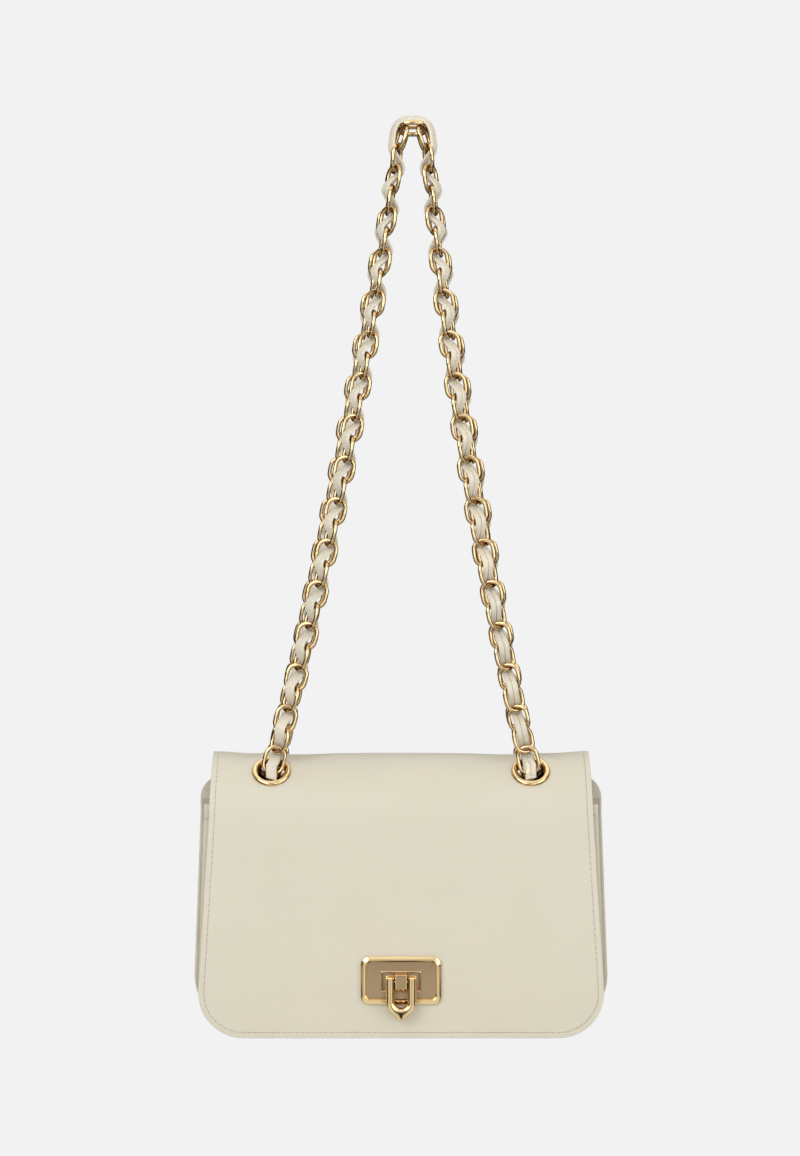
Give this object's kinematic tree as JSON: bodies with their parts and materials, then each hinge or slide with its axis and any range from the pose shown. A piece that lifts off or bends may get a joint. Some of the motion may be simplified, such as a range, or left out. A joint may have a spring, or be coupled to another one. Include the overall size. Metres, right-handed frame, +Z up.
{
  "type": "chain shoulder bag",
  "caption": "Small leather flap shoulder bag with a rounded crown, a metal flip-loop lock plate and a double chain strap woven with leather through eyelets.",
  "frame": {"origin": "middle of the flat base, on the surface the bag stands on", "axes": "+Z up, -Y out of the front of the flap, +X to the right seen from the front"},
  "size_m": [0.236, 0.0838, 0.5127],
  "materials": {
    "leather": "smooth matt calf leather, pale stone",
    "strip_leather": "smooth strap leather, pale stone",
    "lining": "woven cotton",
    "gold": "polished pale gold",
    "steel": "satin",
    "board": "raw fibreboard"
  },
  "bodies": {
    "bag_body": {"back_panel": "leather", "front_panel": "leather", "gusset": "leather", "body_lining": "lining", "base_board": "board", "slip_pocket": "lining", "front_binding": "leather", "magnet_keeper": "steel", "keeper_washer": "steel"},
    "crown": {"crown_panel": "leather", "crown_lining": "lining", "eyelets": "gold", "eyelet_washers": "steel", "inner_chains": "gold", "inner_strips": "strip_leather"},
    "flap": {"flap_panel": "leather", "flap_lining": "lining", "lock_plate": "gold", "lock_knuckle": "gold", "lock_backplate": "steel", "lock_rivets": "steel", "flap_magnet": "steel", "latch_pin": "steel"},
    "latch": {"flip_loop": "gold"},
    "front_strap": {"front_chain": "gold", "front_strip": "strip_leather"},
    "rear_strap": {"rear_chain": "gold", "rear_strip": "strip_leather"}
  },
  "joints": [
    {"name": "crown_tilt", "type": "hinge", "parent": "bag_body", "child": "crown", "pos_m": [0, 0.0347, 0.1365], "axis": [-1, 0, 0], "range_deg": [0, 100]},
    {"name": "flap_lift", "type": "hinge", "parent": "crown", "child": "flap", "pos_m": [0, -0.0347, 0.1365], "axis": [-1, 0, 0], "range_deg": [0, 100]},
    {"name": "latch_flip", "type": "hinge", "parent": "flap", "child": "latch", "pos_m": [0, -0.0433, 0.032], "axis": [-1, 0, 0], "range_deg": [0, 90]},
    {"name": "front_strap_swing", "type": "hinge", "parent": "crown", "child": "front_strap", "pos_m": [0, -0.02687, 0.14787], "axis": [1, 0, 0], "range_deg": [0, 60]},
    {"name": "rear_strap_swing", "type": "hinge", "parent": "crown", "child": "rear_strap", "pos_m": [0, 0.02687, 0.14787], "axis": [-1, 0, 0], "range_deg": [0, 60]}
  ]
}
